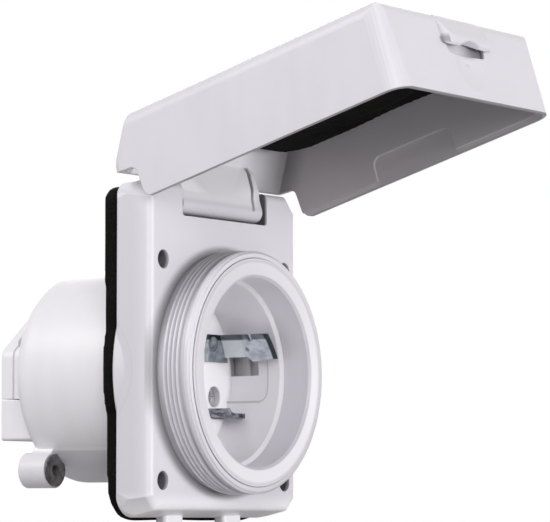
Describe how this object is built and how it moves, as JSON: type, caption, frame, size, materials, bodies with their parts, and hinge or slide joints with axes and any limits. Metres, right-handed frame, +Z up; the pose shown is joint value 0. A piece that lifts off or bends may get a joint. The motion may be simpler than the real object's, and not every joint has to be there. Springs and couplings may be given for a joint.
{
  "type": "panel mount power inlet",
  "caption": "Panel mount power inlet: square faceplate with a threaded collar round a recessed socket, a hinged weather lid above and a rear wiring enclosure with a cable clamp.",
  "frame": {"origin": "on the socket axis, in the plane of the wall (rear face of the panel gasket)", "axes": "the socket faces -Y, +Z is up, +X is to the right seen from the front"},
  "size_m": [0.0908, 0.1639, 0.1517],
  "materials": {
    "housing_plastic": "smooth moulded white",
    "lid_plastic": "smooth moulded white",
    "carrier_plastic": "smooth moulded white",
    "enclosure_plastic": "satin moulded white",
    "retainer_plastic": "moulded ivory",
    "gasket_foam": "closed-cell foam",
    "pad_foam": "closed-cell foam",
    "contact_metal": "nickel plated",
    "screw_steel": "stainless",
    "terminal_brass": "plain brass",
    "ground_green": "green coated"
  },
  "bodies": {
    "inlet": {"front_housing": "housing_plastic", "panel_gasket": "gasket_foam", "contact_carrier": "carrier_plastic", "ground_contact": "contact_metal", "ground_rivet": "contact_metal", "line_blade_1": "contact_metal", "line_blade_2": "contact_metal", "line_blade_3": "contact_metal", "carrier_screws": "screw_steel", "contact_retainer": "retainer_plastic", "terminal_clamp_1": "terminal_brass", "terminal_clamp_2": "terminal_brass", "terminal_clamp_3": "terminal_brass", "ground_terminal": "terminal_brass", "terminal_screw_1": "screw_steel", "terminal_screw_2": "screw_steel", "terminal_screw_3": "screw_steel", "ground_screw": "ground_green", "rear_enclosure": "enclosure_plastic", "lug_sleeves": "screw_steel", "cable_clamp": "enclosure_plastic", "clamp_screws": "screw_steel", "hinge_pin": "screw_steel"},
    "lid": {"lid": "lid_plastic", "lid_pad": "pad_foam"}
  },
  "joints": [
    {"name": "lid_hinge", "type": "hinge", "parent": "inlet", "child": "lid", "pos_m": [0, -0.0128, 0.052], "axis": [1, 0, 0], "range_deg": [0, 107.2]}
  ]
}
